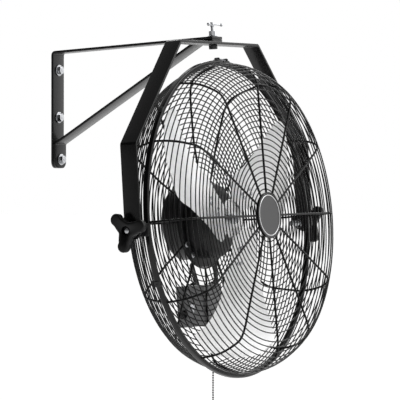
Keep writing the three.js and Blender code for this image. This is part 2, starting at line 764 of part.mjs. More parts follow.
function switchBox() {
  const shell = block([-box.halfWidth, boxFront, boxBottom], [box.halfWidth, boxBack, boxTop]);
  const inner = box.halfWidth - box.wall;
  const hollow = block([-inner, boxFront + box.wall, boxFloor], [inner, boxBack + 1, boxTop - box.wall]);
  const neckPlace = [switchAcross, boxMiddle];
  const neckHole = bar(pullSwitch.neck + seat, boxBottom - 1, boxFloor + 1, "z", 16, neckPlace);
  const glandHole = bar(gland.neck + seat, -box.halfWidth - 1, -inner + 1, "x", 16, glandPlace);
  const plugHole = bar(boxPlug.radius + seat, boxFront - 1, boxFront + box.wall + 1, "y", 20, plugPlace);
  const body = shell.subtract(hollow).subtract(neckHole).subtract(glandHole).subtract(plugHole);
  return piece("switch_box", body, greyPaint);
}

function boxCoverPiece() {
  const from = boxBack + seat;
  const body = block([-box.halfWidth, from, boxBottom], [box.halfWidth, from + boxCover, boxTop]);
  return piece("box_cover", body, greyPaint);
}

// A bent strap from the plate to the box's top, leaning sideways as it goes down.
function hangerPiece(label) {
  const { across, lean } = hangers[label];
  const start = -Math.sqrt(screwCircle ** 2 - across ** 2);
  const near = plate.front + plate.thick + seat + hanger.thick / 2;
  const far = boxFront + hanger.offset + hanger.thick / 2;
  const foot = boxTop + seat + hanger.thick / 2;
  const corners = [
    [near, start + hanger.foot],
    [near, start - hanger.foot],
    [far, start - hanger.foot - Math.abs(far - near)],
    [far, foot],
    [boxBack - 2, foot],
  ];
  const place = new THREE.Matrix4().makeShear(0, 0, 0, 0, -lean, 0).setPosition(across + lean * start, 0, 0);
  const body = bentBar(corners, hanger.thick, hanger.width, place.multiply(planeYZ), hanger.thick, 2);
  return piece(`box_hanger_${label}`, body, darkPaint);
}

function capacitorPiece() {
  const front = boxFront + box.wall + seat;
  const left = capacitor.inset - box.halfWidth;
  const top = boxTop - capacitor.drop;
  const high = [left + capacitor.width, front + capacitor.depth, top];
  return piece("run_capacitor", block([left, front, top - capacitor.height], high), blackPlastic);
}

function pullSwitchPiece() {
  const front = boxFront + box.wall + seat;
  const half = pullSwitch.width / 2;
  const floor = boxFloor + seat;
  const across = [switchAcross, boxMiddle];
  const low = [switchAcross - half, front, floor];
  const body = block(low, [switchAcross + half, front + pullSwitch.depth, floor + pullSwitch.height]);
  const neck = bar(pullSwitch.neck, boxBottom - pullSwitch.drop, floor + 1, "z", 16, across);
  const chainHole = bar(chain.radius + 0.9, boxBottom - pullSwitch.drop - 1, boxBottom, "z", 10, across);
  return piece("pull_switch", body.add(neck).subtract(chainHole), zinc);
}

function glandPiece() {
  const wall = -box.halfWidth - seat;
  const end = -box.halfWidth - gland.length;
  const inside = -box.halfWidth + box.wall + 3;
  const flange = hexagon(gland.flats, wall - 3, wall, "x", glandPlace);
  const tube = bar(gland.neck, end, inside, "x", 16, glandPlace);
  const bore = bar(gland.bore, end - 1, inside + 1, "x", 16, glandPlace);
  return piece("cord_gland", flange.add(tube).subtract(bore), blackPlastic);
}

function boxPlugPiece() {
  const body = bar(boxPlug.radius, boxFront - boxPlug.proud, boxFront + box.wall, "y", 24, plugPlace);
  return piece("box_plug", body, zinc);
}

// The chain hangs plumb, whatever the rise of the arm and the tilt of the fan.
function pullChain() {
  const plumb = new THREE.Group();
  plumb.position.set(switchAcross, boxMiddle, boxBottom - pullSwitch.drop);
  plumb.rotation.x = armRise + fanTilt;
  const start = 4; // the chain begins inside the neck
  const links = bar(chain.radius, start, start - chain.length, "z", 8);
  const top = start - chain.length - seat;
  const outline = [
    [0, 0],
    [1.6, 0],
    [bell.radius, -bell.length * 0.7],
    [bell.radius * 0.8, -bell.length],
    [0, -bell.length],
  ].map(([radius, drop]) => new THREE.Vector2(radius, drop));
  const shape = new THREE.LatheGeometry([...outline, outline[0]], 12).rotateX(Math.PI / 2);
  plumb.add(piece("pull_chain", links, steel));
  plumb.add(piece("chain_bell", solid(shape.translate(0, 0, top)), zinc));
  return plumb;
}

const root = new THREE.Group();
root.name = "wall_fan";
armGroup.updateMatrix();
root.add(wallBracket(), brace());
root.add(...wallBolt("upper", -barThick), ...wallBolt("middle", -barThick));
root.add(...wallBolt("lower", -barThick - barStep));
root.add(armGroup);
armGroup.add(...swivelScrew(), tommyBarPiece(), yoke());

const tiltGroup = new THREE.Group();
tiltGroup.position.set(0, 0, pivotHeight);
tiltGroup.rotation.x = -fanTilt;
const fan = new THREE.Group();
fan.position.set(0, 0, -pivotHeight);
armGroup.add(tiltGroup);
tiltGroup.add(fan);

for (const [side, label] of [
  [-1, "left"],
  [1, "right"],
]) {
  armGroup.add(tiltStud(side, label), tiltKnob(side, label), frictionSpacer(side, label));
  fan.add(earBracket(side, label), tiltNutPiece(side, label));
}
fan.add(clampRing(), clampScrew(), frontGuard(), rearGuard(), badgePiece(), mountPlate());
fan.add(rimClip(43, "upper_right"), rimClip(137, "upper_left"));
fan.add(rimClip(202, "lower_left"), rimClip(338, "lower_right"));
plateScrew.angles.forEach((angle, i) => fan.add(plateScrewPiece(angle, i + 1)));
fan.add(motorShell("motor_front_shell", motor.front, plate.front - seat, shaftRadius + 1));
fan.add(motorShell("motor_rear_shell", motor.back, plate.front + plate.thick + seat, shaftRadius + 1));
fan.add(bearingPiece("front_bearing", motor.front + motor.wall, 1));
fan.add(bearingPiece("rear_bearing", motor.back - motor.wall, -1));
fan.add(statorPiece(), ...rotorParts());
for (let number = 0; number < bladeCount; number += 1) fan.add(blade(number));
fan.add(switchBox(), boxCoverPiece(), capacitorPiece(), pullSwitchPiece(), glandPiece(), boxPlugPiece());
fan.add(hangerPiece("left"), hangerPiece("right"), pullChain());

export default root;
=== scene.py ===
import json
import math

import bmesh
import bpy
import numpy as np
from mathutils import Matrix, Vector


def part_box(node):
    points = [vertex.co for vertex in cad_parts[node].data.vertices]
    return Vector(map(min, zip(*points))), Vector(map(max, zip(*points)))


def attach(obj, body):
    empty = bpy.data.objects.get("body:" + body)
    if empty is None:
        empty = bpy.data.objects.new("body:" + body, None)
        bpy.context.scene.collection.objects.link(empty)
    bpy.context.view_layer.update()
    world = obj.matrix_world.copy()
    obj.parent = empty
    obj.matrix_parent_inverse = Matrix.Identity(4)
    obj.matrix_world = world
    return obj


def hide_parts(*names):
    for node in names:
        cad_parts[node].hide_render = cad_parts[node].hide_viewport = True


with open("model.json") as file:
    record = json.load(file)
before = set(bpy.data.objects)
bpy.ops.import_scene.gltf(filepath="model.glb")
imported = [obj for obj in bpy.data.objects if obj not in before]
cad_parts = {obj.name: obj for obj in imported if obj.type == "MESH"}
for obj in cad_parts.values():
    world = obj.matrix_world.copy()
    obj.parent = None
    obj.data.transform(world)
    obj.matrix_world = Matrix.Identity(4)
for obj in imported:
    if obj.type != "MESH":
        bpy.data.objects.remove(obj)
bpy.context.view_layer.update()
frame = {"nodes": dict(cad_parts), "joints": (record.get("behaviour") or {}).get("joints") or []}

MM = 0.001
DEG = math.pi / 180
SIDES = ((-1, "left"), (1, "right"))
JOINTS = {joint["name"]: joint for joint in frame["joints"]}


# ---------------------------------------------------------------- places and sizes, in millimetres
def joint_place(name):
    """Where a joint is."""
    return Vector(JOINTS[name]["pos_m"]) / MM


def far_corner(node):
    """The highest corner of a CAD node's box."""
    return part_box(node)[1] / MM


# The arm rises towards its tip, and the fan leans further about its pivot. The fan's axis lies PIVOT above
# the pivot, and the arm's top face lies DROP above that axis.
RISE = math.atan2(JOINTS["yoke_swivel"]["axis"][1], JOINTS["yoke_swivel"]["axis"][2])
LEAN = math.atan2(-JOINTS["blade_spin"]["axis"][2], JOINTS["blade_spin"]["axis"][1])
PIVOT = (joint_place("blade_spin") - joint_place("fan_tilt")).length

# Frames of the wall, the arm and the fan. The fan's origin is the middle of the guard ring, and the arm's is
# where that would be if the fan didn't lean.
WALL = Matrix.Identity(4)
ARM = (
    Matrix.Translation(joint_place("fan_tilt"))
    @ Matrix.Rotation(-RISE, 4, "X")
    @ Matrix.Translation((0, 0, PIVOT))
)
FAN = Matrix.Translation(joint_place("blade_spin")) @ Matrix.Rotation(-LEAN, 4, "X")
DROP = (ARM.inverted() @ joint_place("yoke_swivel")).z

# The bars: their thickness, the gap at each seat, the strip on the wall, and the arm beyond the swivel
BAR, SEAT = 4.5, 0.3
STRIP = -2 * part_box("wall_bracket")[0].z / MM
WIDTH = 2 * far_corner("wall_bracket").x
TIP = 9.2
BRACE_LEVEL = DROP - (BAR + SEAT) - BAR / 2
YOKE_LEVEL = BRACE_LEVEL - (BAR + SEAT)
LEG = far_corner("yoke_bar").x

# The clamp ring, the guards' rims, the front guard's flat face and the rear guard's back
HOOP, HOOP_FRONT, HOOP_BACK = far_corner("clamp_ring").x, -20.3, -10.5
CLAMP_TURN = 2.7 * DEG
RIM, RIM_FRONT, RIM_BACK = 267.2, -17.55, -13.25
FACE, REAR = -90.5, 44.7


# ---------------------------------------------------------------- scene and camera
def add_object(name, data):
    """An object with this data, linked to the scene."""
    obj = bpy.data.objects.new(name, data)
    bpy.context.scene.collection.objects.link(obj)
    return obj


def make_camera():
    """The camera fitted to the photograph: a long lens, from the left front, placed from the guard ring."""
    picture, focal = 400, 3049.4  # the picture's side and the focal length, in pixels
    azimuth, pitch, roll = -59.2 * DEG, -1.1 * DEG, 0.1 * DEG
    across, height, distance = -38.7, 33.6, 5246.7
    level = math.cos(pitch)
    forward = Vector((-math.sin(azimuth) * level, math.cos(azimuth) * level, math.sin(pitch)))
    right = Vector((math.cos(azimuth), math.sin(azimuth), 0))
    up = right.cross(forward)
    side = right * math.cos(roll) + up * math.sin(roll)
    top = up * math.cos(roll) - right * math.sin(roll)
    place = ARM.to_translation() - forward * distance + side * across + top * height
    data = bpy.data.cameras.new("camera")
    data.sensor_width = 36
    data.lens = focal * data.sensor_width / picture
    data.clip_start, data.clip_end = 0.1, 60
    camera = add_object("camera", data)
    turn = Matrix((side, top, -forward)).transposed().to_4x4()
    camera.matrix_world = Matrix.Translation(place * MM) @ turn
    bpy.context.scene.camera = camera


# ---------------------------------------------------------------- materials
def shader_node(tree, kind, inputs=None, **settings):
    """A shader node with its settings and some of its inputs' values."""
    node = tree.nodes.new("ShaderNode" + kind)
    for key, value in settings.items():
        setattr(node, key, value)
    for key, value in (inputs or {}).items():
        node.inputs[key].default_value = value
    return node


def material(name, color, rough, grain, metal=0.0, ior=1.5, tone=0.12):
    """A finish whose colour and roughness vary a little. grain is its bump's scale and strength."""
    mat = bpy.data.materials.new(name)
    mat.use_nodes = True
    tree = mat.node_tree
    link = tree.links.new
    shader = tree.nodes["Principled BSDF"]
    shader.inputs["Metallic"].default_value = metal
    shader.inputs["IOR"].default_value = ior
    place = shader_node(tree, "TexCoord")
    broad = shader_node(tree, "TexNoise", {"Scale": 14, "Detail": 5})
    fine = shader_node(tree, "TexNoise", {"Scale": grain[0], "Detail": 3})
    dark, light = [(*[min(1, c * share) for c in color], 1) for share in (1 - tone, 1 + tone)]
    colours = shader_node(tree, "Mix", {"A": dark, "B": light}, data_type="RGBA")
    rough_range = shader_node(tree, "MapRange", {"To Min": rough * 0.88, "To Max": rough * 1.12})
    bump = shader_node(tree, "Bump", {"Strength": grain[1], "Distance": 0.0002})
    for noise in (broad, fine):
        link(place.outputs["Object"], noise.inputs["Vector"])
    link(broad.outputs["Fac"], colours.inputs["Factor"])
    link(colours.outputs["Result"], shader.inputs["Base Color"])
    link(fine.outputs["Fac"], rough_range.inputs["Value"])
    link(rough_range.outputs["Result"], shader.inputs["Roughness"])
    link(fine.outputs["Fac"], bump.inputs["Height"])
    link(bump.outputs["Normal"], shader.inputs["Normal"])
    return mat


BLACK_BAR = material("black_powder_coat", (0.004, 0.004, 0.0042), 0.24, (650, 0.06), ior=1.44)
BLACK_WIRE = material("black_coated_wire", (0.005, 0.005, 0.0052), 0.30, (900, 0.10), ior=1.28)
DARK = material("dark_satin_paint", (0.020, 0.020, 0.021), 0.36, (700, 0.15), ior=1.45)
MOTOR = material("motor_paint", (0.016, 0.016, 0.017), 0.42, (420, 0.30), ior=1.45)
GREY = material("grey_box_paint", (0.34, 0.34, 0.345), 0.42, (600, 0.12))
BADGE = material("badge_paint", (0.062, 0.062, 0.063), 0.45, (520, 0.10))
ZINC = material("zinc_plate", (0.62, 0.63, 0.65), 0.24, (800, 0.12), metal=1.0, tone=0.08)
BRIGHT = material("bright_trim", (0.86, 0.86, 0.87), 0.16, (900, 0.05), metal=1.0, tone=0.04)
CHAIN = material("nickel_bead_chain", (0.07, 0.07, 0.07), 0.25, (500, 0.1), metal=1.0)
STEEL = material("machined_steel", (0.42, 0.43, 0.45), 0.30, (500, 0.15), metal=1.0)
BLADE = material("satin_aluminium", (0.95, 0.95, 0.95), 0.40, (300, 0.04), metal=0.92, tone=0.02)
PLASTIC = material("black_moulding", (0.004, 0.004, 0.0042), 0.36, (380, 0.18), ior=1.38)
WINDING = material("varnished_winding", (0.26, 0.11, 0.045), 0.38, (260, 0.6), metal=0.4, tone=0.3)


# ---------------------------------------------------------------- pieces
def build(name, parts, body, nodes, mat, angle=35):
    """One object from [(vertices, faces, matrix)] in millimetres. It rides on a body, in place of nodes."""
    verts, faces = [], []
    for points, polygons, matrix in parts:
        base = len(verts)
        verts += [matrix @ Vector(p) * MM for p in points]
        faces += [[base + i for i in polygon] for polygon in polygons]
    mesh = bpy.data.meshes.new(name)
    mesh.from_pydata(verts, [], faces)
    work = bmesh.new()
    work.from_mesh(mesh)
    bmesh.ops.recalc_face_normals(work, faces=work.faces)
    work.to_mesh(mesh)
    work.free()
    mesh.polygons.foreach_set("use_smooth", [True] * len(mesh.polygons))
    mesh.set_sharp_from_angle(angle=angle * DEG)
    mesh.materials.append(mat)
    obj = add_object(name, mesh)
    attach(obj, body)
    if nodes:
        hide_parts(*nodes)
    return obj


def refinish(mat, *names):
    """Gives CAD nodes that stay in the model a finish."""
    for name in names:
        materials = frame["nodes"][name].data.materials
        materials.clear()
        materials.append(mat)


# ---------------------------------------------------------------- solids, each as (vertices, faces, matrix)
def on_axis(axis, depth, u, v):
    """The 3D point at a depth along an axis and at (u, v) across it."""
    return {"x": (depth, u, v), "y": (u, depth, v), "z": (u, v, depth)}[axis]


def circle(radius, steps=48, centre=(0, 0)):
    angles = [2 * math.pi * k / steps for k in range(steps)]
    return [(centre[0] + radius * math.cos(t), centre[1] + radius * math.sin(t)) for t in angles]


def rounded(points, radius, steps):
    """A closed 2D outline with each corner rounded, by one radius or one per corner."""
    count = len(points)
    out = []
    for i in range(count):
        here, before, after = (Vector(points[j % count]) for j in (i, i - 1, i + 1))
        r = radius[i] if hasattr(radius, "__len__") else radius
        if r <= 0:
            out.append(tuple(here))
            continue
        a, b = (before - here).normalized(), (after - here).normalized()
        half = a.angle(b) / 2
        cut = min(r / math.tan(half), (before - here).length / 2, (after - here).length / 2)
        r = cut * math.tan(half)
        centre = here + (a + b).normalized() * (r / math.sin(half))
        start, end = here + a * cut - centre, here + b * cut - centre
        sweep = start.angle_signed(end)
        for k in range(steps + 1):
            turn = Matrix.Rotation(-sweep * k / steps, 2)
            out.append(tuple(centre + turn @ start))
    return out


def loops_to_faces(rows, count):
    """Quads between rows of count points each, wrapped round, with a cap on each end."""
    faces = []
    for a in range(0, (rows - 1) * count, count):
        for k in range(count):
            n = (k + 1) % count
            faces.append([a + k, a + n, a + count + n, a + count + k])
    faces.append(list(range(count))[::-1])
    faces.append([(rows - 1) * count + k for k in range(count)])
    return faces


def lathe(profile, steps=64, matrix=WALL, axis="y"):
    """A closed outline of (radius, height) turned about an axis, on which it may start and end."""
    points, faces, loops = [], [], []
    for radius, height in profile:
        turned = circle(radius, steps) if radius > 1e-6 else [(0, 0)]
        loops.append(range(len(points), len(points) + len(turned)))
        points += [on_axis(axis, height, u, v) for u, v in turned]
    for a, b in zip(loops, loops[1:] + loops[:1]):
        if len(a) == 1 and len(b) == 1:
            continue
        for k in range(steps):
            n = (k + 1) % steps
            if len(a) == 1:
                faces.append([a[0], b[n], b[k]])
            elif len(b) == 1:
                faces.append([a[k], a[n], b[0]])
            else:
                faces.append([a[k], a[n], b[n], b[k]])
    return points, faces, matrix


def tube(path, radius, sides, matrix):
    """A round wire along 3D points."""
    points = [Vector(p) for p in path]
    last = len(points) - 1
    rows = []
    normal = None
    for i, p in enumerate(points):
        along = (points[min(i + 1, last)] - points[max(i - 1, 0)]).normalized()
        if normal is None:
            normal = along.orthogonal().normalized()
        normal = (normal - along * normal.dot(along)).normalized()
        other = along.cross(normal)
        rows += [tuple(p + normal * u + other * v) for u, v in circle(radius, sides)]
    return rows, loops_to_faces(len(points), sides), matrix


def ring_wire(radius, depth, wire, steps, sides):
    """A ring of round wire about the fan's axis."""
    return lathe(circle(wire, sides, (radius, depth)), steps, FAN)


def prism(outline, low, high, axis, edge, steps=3, matrix=WALL):
    """A plate of a 2D outline between two depths. The outline shrinks towards each face, in an arc."""
    points = [Vector(p) for p in outline]
    area = sum(a.x * b.y - b.x * a.y for a, b in zip(points, points[1:] + points[:1]))
    if area < 0:
        points.reverse()
    inward = []
    for before, here, after in zip(points[-1:] + points, points, points[1:] + points[:1]):
        a, b = (here - before).normalized(), (after - here).normalized()
        n = Vector((-(a.y + b.y), a.x + b.x)).normalized()
        mitre = max(0.5, math.sqrt(max(0.05, (1 + a.dot(b)) / 2)))
        inward.append(n / mitre)
    turns = np.linspace(0, math.pi / 2, steps + 1)
    levels = [(edge * (1 - math.sin(t)), low + edge * (1 - math.cos(t))) for t in turns]
    levels += [(inset, high + low - depth) for inset, depth in reversed(levels)]
    rows = []
    for inset, depth in levels:
        rows += [on_axis(axis, depth, *(p + n * inset)) for p, n in zip(points, inward)]
    return rows, loops_to_faces(len(levels), len(points)), matrix


def disc(radius, low, high, axis, centre=(0, 0), edge=0.4, steps=48, matrix=WALL):
    """A round plate with rounded edges."""
    low, high = sorted((low, high))
    return prism(circle(radius, steps, centre), low, high, axis, edge, matrix=matrix)


def block(low, high, edge, axis, corner, matrix):
    """A box between two corners, with rounded edges and with corners rounded about an axis."""
    u, v = {"x": (1, 2), "y": (0, 2), "z": (0, 1)}[axis]
    depth = "xyz".index(axis)
    outline = [(low[u], low[v]), (high[u], low[v]), (high[u], high[v]), (low[u], high[v])]
    return prism(rounded(outline, corner, 5), low[depth], high[depth], axis, edge, matrix=matrix)


def hex_head(flats, base, top, axis, centre=(0, 0), turn=0.0, both=False, matrix=WALL):
    """A hexagonal head or nut whose corners are chamfered to a cone at the top, or at both ends."""
    steps, half = 72, flats / 2
    rim, slope, height = half * 0.95, 0.55, abs(top - base)
    angles = [2 * math.pi * k / steps for k in range(steps)]
    corner = [half / math.cos(t % (math.pi / 3) - math.pi / 6) for t in angles]
    drop = [max(0.0, r - rim) * slope for r in corner]
    if both:
        rows = [[(rim, 0.0)] * steps, list(zip(corner, drop))]
    else:
        rows = [[(r, 0.0) for r in corner]]
    rows.append([(r, height - d) for r, d in zip(corner, drop)])
    rows.append([(rim, height)] * steps)
    rows.append([(rim - 0.35, height)] * steps)
    points = []
    for row in rows:
        for t, (r, h) in zip(angles, row):
            u, v = centre[0] + r * math.cos(t + turn), centre[1] + r * math.sin(t + turn)
            points.append(on_axis(axis, base + math.copysign(h, top - base), u, v))
    return points, loops_to_faces(len(rows), steps), matrix


def thread(radius, low, high, axis, pitch=1.25, centre=(0, 0), matrix=WALL, steps=24):
    """A screw's shank with a groove turned in it at each pitch."""
    way, root = math.copysign(1, high - low), radius * 0.86
    profile = [(0, low), (root, low)]
    for k in range(max(1, int(abs(high - low) / pitch))):
        start = low + way * pitch * k
        profile += [(root, start + way * pitch * 0.15), (radius, start + way * pitch * 0.5)]
    profile += [(root, high), (0, high)]
    shift = Matrix.Translation(on_axis(axis, 0, *centre))
    return lathe(profile, steps, matrix @ shift, axis)


# ---------------------------------------------------------------- bracket and yoke
def bent_path(corners, radius, steps=10):
    """Points along straight runs joined by arcs."""
    corners = [Vector(c) for c in corners]
    line = [corners[0]]
    for before, here, after in zip(corners, corners[1:], corners[2:]):
        into, out = (here - before).normalized(), (after - here).normalized()
        turn = math.atan2(into.x * out.y - into.y * out.x, into.dot(out))
        start = here - into * radius * math.tan(abs(turn) / 2)
        centre = start + Vector((-into.y, into.x)) * math.copysign(radius, turn)
        for k in range(steps + 1):
            line.append(centre + Matrix.Rotation(turn * k / steps, 2) @ (start - centre))
    return line + [corners[-1]]


def flat_bar(corners, width, plane, matrix, ends):
    """A flat bar bent along corners in a plane, with rounded edges and a corner radius for each end."""
    bend, edge, runs, end_steps = 5.75, 0.7, 40, 10
    line = bent_path(corners, bend)
    lengths = [0.0]
    for a, b in zip(line, line[1:]):
        lengths.append(lengths[-1] + (b - a).length)
    total = lengths[-1]
    stations = set(lengths) | {total * k / runs for k in range(1, runs)}
    for k in range(end_steps + 1):
        share = 1 - math.sin(math.pi / 2 * k / end_steps)
        stations |= {max(ends[0], edge) * share, total - max(ends[1], edge) * share}
    rows, count = [], 0
    for s in sorted(stations):
        i = min(max(j for j in range(len(lengths)) if lengths[j] <= s + 1e-9), len(line) - 2)
        share = (s - lengths[i]) / max(1e-9, lengths[i + 1] - lengths[i])
        p = line[i].lerp(line[i + 1], share)
        along = (line[i + 1] - line[i]).normalized()
        if share < 1e-6 and i > 0:
            along = (along + (line[i] - line[i - 1]).normalized()).normalized()
        normal = Vector((-along.y, along.x))
        half, thick = width / 2, BAR / 2
        for distance, r in ((s, ends[0]), (total - s, ends[1])):
            if distance < r:
                half = min(half, width / 2 - r + math.sqrt(max(0.0, r**2 - (r - distance) ** 2)))
        near = min(s, total - s)
        if near < edge:
            thick += math.sqrt(max(0.0, edge**2 - (edge - near) ** 2)) - edge
        half = max(half, 0.9)
        corner = min(edge, half * 0.8, thick * 0.8)
        section = rounded([(-half, -thick), (half, -thick), (half, thick), (-half, thick)], corner, 3)
        count = len(section)
        for w, t in section:
            u, v = p + normal * t
            rows.append((w, u, v) if plane == "yz" else (u, w, v))
    return rows, loops_to_faces(len(rows) // count, count), matrix


def from_arm(y, z):
    """A place in the arm's frame, as (y, z) in the wall's."""
    p = ARM @ Vector((0, y, z))
    return (p.y, p.z)


def bracket_pieces():
    """The wall strip with its arm, the brace under it, and the three wall bolts with their washers."""
    inset, ends = BAR / 2, (12, 1.6)
    elbow = inset * math.tan((math.pi / 2 - RISE) / 2)
    strip = [(-inset, -STRIP / 2), (-inset, STRIP / 2 - elbow), from_arm(-TIP, DROP - inset)]
    bar = flat_bar(strip, WIDTH, "yz", WALL, ends)
    build("bracket_bar", [bar], "bracket", ["wall_bracket"], BLACK_BAR)
    foot, brace_bend, brace_run = -BAR - SEAT - inset, 43.3, 25
    brace = [(foot, -STRIP / 2), (foot, brace_bend - STRIP / 2)]
    brace += [from_arm(brace_run, BRACE_LEVEL), from_arm(-TIP, BRACE_LEVEL)]
    bar = flat_bar(brace, WIDTH, "yz", WALL, ends)
    build("brace_strut", [bar], "bracket", ["brace_bar"], BLACK_BAR)
    on_brace = -2 * BAR - SEAT
    bolts = (("upper", 70, -BAR, 0.1), ("middle", -13.6, -BAR, 0.35), ("lower", -88.2, on_brace, 0.22))
    for label, height, front, turn in bolts:
        at = (0, height)
        washer = front - SEAT - 1.6
        back = washer - SEAT
        face = back - 5.3
        flat_washer = disc(10, washer, front - SEAT, "y", at, edge=0.45)
        build(f"bolt_washer_{label}", [flat_washer], "bracket", [f"wall_washer_{label}"], ZINC)
        head = [
            hex_head(13, back, face, "y", at, turn),
            disc(6.9, back - 0.6, back, "y", at, edge=0.25),
            disc(4.0, back - 1, -0.6, "y", at, edge=0.5),
            disc(2.2, face - 0.25, face + 0.3, "y", at, edge=0.2),
        ]
        build(f"bolt_head_{label}", head, "bracket", [f"wall_bolt_{label}"], ZINC)


def swivel_pieces():
    """The screw through the arm's tip with its washer, its sliding tommy bar and the nut under the yoke."""
    foot, top = DROP + 2 * SEAT + 1.4, DROP + 25
    nut_top, nut = YOKE_LEVEL - BAR / 2 - SEAT, 7
    washer = disc(9, DROP + SEAT, foot - SEAT, "z", edge=0.35, matrix=ARM)
    build("swivel_flat_washer", [washer], "bracket", ["swivel_washer"], ZINC)
    neck = [
        (0, foot + 7.6),
        (4.4, foot + 7.6),
        (3.4, foot + 8.6),
        (2.5, foot + 9.4),
        (2.5, top - 8.0),
        (3.2, top - 7.2),
        (3.6, top - 6.6),
        (3.6, top - 0.9),
        (3.1, top - 0.15),
        (0, top),
    ]
    screw = [
        thread(4, nut_top - nut, foot + 1, "z", matrix=ARM),
        hex_head(11, foot, foot + 8, "z", turn=0.3, both=True, matrix=ARM),
        lathe(neck, 40, ARM, "z"),
    ]
    build("swivel_thumb_screw", screw, "swivel_handle", ["swivel_screw"], ZINC)
    level, middle, half, ball_radius, ball_steps = top - 3.5, 9.5, 21.5, 2.9, 14
    arc = [math.pi * k / ball_steps for k in range(ball_steps + 1)]
    ball = [(ball_radius * math.sin(t), -ball_radius * math.cos(t)) for t in arc]
    handle = []
    for end in (middle - half, middle + half):
        handle.append(lathe(ball, 32, ARM @ Matrix.Translation((end, 0, level)), "x"))
    handle.append(disc(1.4, middle - half, middle + half, "x", (0, level), 0.2, 24, ARM))
    build("sliding_tommy_bar", handle, "tommy_bar", ["tommy_bar"], ZINC)
    hexagon = hex_head(14, nut_top, nut_top - nut, "z", turn=0.4, both=True, matrix=ARM)
    build("swivel_hex_nut", [hexagon], "yoke", ["swivel_nut"], DARK)


def yoke_piece():
    """One bar bent into two legs with round ends, two sloped shoulders and a flat top."""
    width, shoulder = 31, 130.5
    leg, top = LEG - BAR / 2, 264.4 / 2 - BAR / 2
    low = -PIVOT - width / 2
    left = [(-leg, low), (-leg, shoulder), (-top, YOKE_LEVEL)]
    right = [(-x, z) for x, z in reversed(left)]
    bar = flat_bar(left + right, width, "xz", ARM, (width / 2, width / 2))
    build("yoke_strap", [bar], "yoke", ["yoke_bar"], BLACK_BAR)


# ---------------------------------------------------------------- pivots
def lobed_outline(side):
    """The knob's outline: three lobes joined by hollow flanks, as a smooth polar curve."""
    steps, lobes = 144, (14, 134, 254)
    lobe_place, lobe_radius, waist, hollow = 26, 10.5, 14.6, 1.8
    flank = math.asin(lobe_radius / lobe_place)
    points = []
    for angle in (2 * math.pi * k / steps for k in range(steps)):
        off = min(abs((math.degrees(angle) - lobe + 180) % 360 - 180) for lobe in lobes) * DEG
        inside = lobe_radius**2 - (lobe_place * math.sin(off)) ** 2
        if inside > 0 and math.cos(off) > 0:
            radius = lobe_place * math.cos(off) + math.sqrt(inside)
        else:
            blend = (1 - (off - flank) / (math.pi / 3 - flank)) ** hollow
            radius = lobe_place * math.cos(flank) * blend + waist * (1 - blend)
        points.append((side * radius * math.cos(angle), radius * math.sin(angle) - PIVOT))
    return points


def knob_grip(side, face):
    """The lobed plate with a round recess sunk in its outer face."""
    outline = lobed_outline(side)
    low, high = sorted((side * (face - 12), side * face))
    rows, _, _ = prism(outline, low, high, "x", 3.0, 6)
    count = len(outline)
    rim = rows[-count:] if side > 0 else rows[:count]
    loops = []
    for radius, depth in ((8.6, 0.0), (8.0, 0.5), (7.4, 7.0)):
        turns = [math.atan2(z + PIVOT, y) for _, y, z in rim]
        x = side * (face - depth)
        loops.append([(x, radius * math.cos(t), radius * math.sin(t) - PIVOT) for t in turns])
    outside_first = sum(loops, []) if side > 0 else sum(reversed(loops), [])
    rows = rows + outside_first if side > 0 else outside_first + rows
    return rows, loops_to_faces(len(rows) // count, count), ARM


def pivot_pieces():
    """On each side the knob, its stud, the spacer inside the yoke's leg, the ear on the ring and its nut."""
    at = (0, -PIVOT)
    for side, label in SIDES:
        foot = LEG + SEAT
        face = foot + 22
        stem = [
            (0, side * (foot + 11)),
            (12.6, side * (foot + 11)),
            (11.4, side * (foot + 7)),
            (11.0, side * (foot + 2)),
            (12.0, side * (foot + 0.8)),
            (11.8, side * foot),
            (0, side * foot),
        ]
        grip = [knob_grip(side, face), lathe(stem, 48, ARM @ Matrix.Translation((0, 0, -PIVOT)), "x")]
        node = f"tilt_knob_{label}"
        build(f"lobed_knob_{label}", grip, f"knob_{label}", [node], PLASTIC, angle=40)
        inner, outer = side * 242, face - 4.6
        tip = [side * (outer - 1), side * (outer + 0.4)]
        stud = [
            thread(5, inner, side * outer, "x", 1.5, at, ARM),
            disc(4.3, *tip, "x", at, 0.5, matrix=ARM),
        ]
        build(f"pivot_stud_{label}", stud, f"knob_{label}", [f"tilt_stud_{label}"], ZINC)
        a, b, flange = 275.6, LEG - BAR - SEAT, 2.4
        spacer = [
            disc(12, side * a, side * (a + flange), "x", at, 0.5, matrix=ARM),
            disc(10.6, side * (a + 2), side * (b - 2), "x", at, 0.3, matrix=ARM),
            disc(12, side * (b - flange), side * b, "x", at, 0.5, matrix=ARM),
        ]
        node = f"friction_spacer_{label}"
        build(f"pivot_spacer_{label}", spacer, "yoke", [node], PLASTIC)
        low, high = sorted((side * 272.3, side * 275.3))
        ear = rounded([(-19, -23.1), (12, -23.1), (12, -1.1), (-19, -1.1)], [2, 10.9, 10.9, 2], 10)
        parts = [prism(ear, low, high, "x", 0.5, matrix=FAN)]
        for z in (-19.5, -4.7):
            parts.append(disc(2.1, side * 275.0, side * 276.1, "x", (-14.5, z), 0.5, 24, FAN))
        build(f"ear_plate_{label}", parts, "fan", [f"ear_bracket_{label}"], DARK)
        nut = hex_head(16, side * 272, side * 264, "x", at, turn=math.pi / 6, both=True, matrix=FAN)
        build(f"pivot_nut_{label}", [nut], "fan", [f"tilt_nut_{label}"], ZINC)


# ---------------------------------------------------------------- guards
RIB_WIRE, RING_WIRE, RIM_WIRE, INNER_WIRE = 1.9, 1.05, 2.0, 1.5
RING_PITCH, RING_SEAT = 9.75, 1.1


